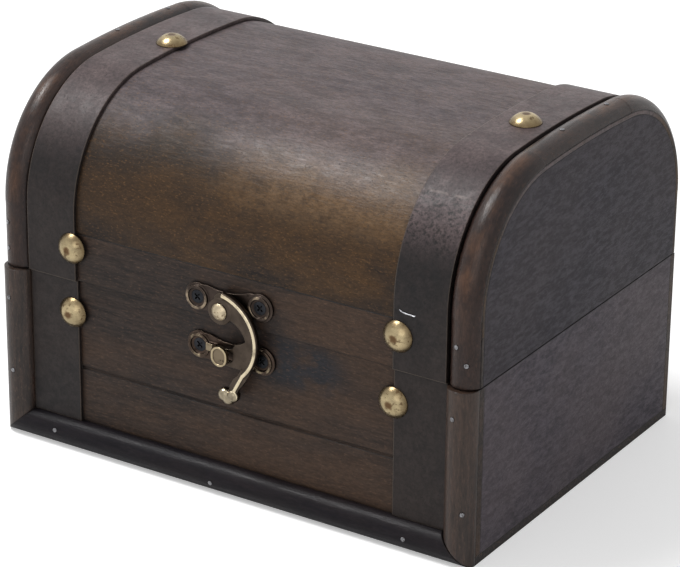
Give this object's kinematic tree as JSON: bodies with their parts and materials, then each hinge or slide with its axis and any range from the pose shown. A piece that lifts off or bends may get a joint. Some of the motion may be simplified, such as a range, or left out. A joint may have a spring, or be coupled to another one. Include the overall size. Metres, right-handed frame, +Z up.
{
  "type": "money box",
  "caption": "Dark wooden chest money box with a hinged arched lid, end rings, studded trim bands and a swing hook latch with its catch",
  "frame": {"origin": "Centre of the rectangle under the bottom board, on the table", "axes": "+X along the front to the viewer's right, +Y from the latch front to the hinged back, +Z up"},
  "size_m": [0.15, 0.1175, 0.1061],
  "materials": {
    "stained_wood": "dark stained, satin",
    "end_wood": "dark stained, dull",
    "bottom_wood": "plain, dull",
    "trim_wood": "dark stained, satin, worn crests",
    "trim_band": "black, satin, lighter cut edge",
    "tack_brass": "antique, satin",
    "brad_steel": "satin",
    "screw_black": "blackened, satin",
    "latch_brass": "antique bronze, worn bright edges",
    "hinge_brass": "antique, satin"
  },
  "bodies": {
    "base": {"bottom_board": "bottom_wood", "left_end_board": "end_wood", "right_end_board": "end_wood", "front_panel": "stained_wood", "back_panel": "stained_wood", "left_front_bead": "trim_wood", "right_front_bead": "trim_wood", "foot_bead": "trim_wood", "left_front_band": "trim_band", "right_front_band": "trim_band", "base_tacks": "tack_brass", "base_brads": "brad_steel", "catch_plate": "latch_brass", "catch_screws": "screw_black", "left_hinge_base_leaf": "hinge_brass", "right_hinge_base_leaf": "hinge_brass", "left_hinge_pin": "hinge_brass", "right_hinge_pin": "hinge_brass", "base_hinge_brads": "hinge_brass"},
    "lid": {"left_lid_end": "end_wood", "right_lid_end": "end_wood", "lid_front_rail": "stained_wood", "lid_back_rail": "stained_wood", "lid_sheet": "stained_wood", "left_lid_ring": "trim_wood", "right_lid_ring": "trim_wood", "left_lid_band": "trim_band", "right_lid_band": "trim_band", "lid_tacks": "tack_brass", "lid_brads": "brad_steel", "hook_plate": "latch_brass", "hook_plate_screws": "screw_black", "hook_rivet": "latch_brass", "left_hinge_lid_leaf": "hinge_brass", "right_hinge_lid_leaf": "hinge_brass", "lid_hinge_brads": "hinge_brass"},
    "hook": {"latch_hook": "latch_brass"}
  },
  "joints": [
    {"name": "lid_open", "type": "hinge", "parent": "base", "child": "lid", "pos_m": [0, 0.05645, 0.05015], "axis": [-1, 0, 0], "range_deg": [0, 110]},
    {"name": "hook_swing", "type": "hinge", "parent": "lid", "child": "hook", "pos_m": [-0.0016, -0.0566, 0.0542], "axis": [0, -1, 0], "range_deg": [0, 150]}
  ]
}
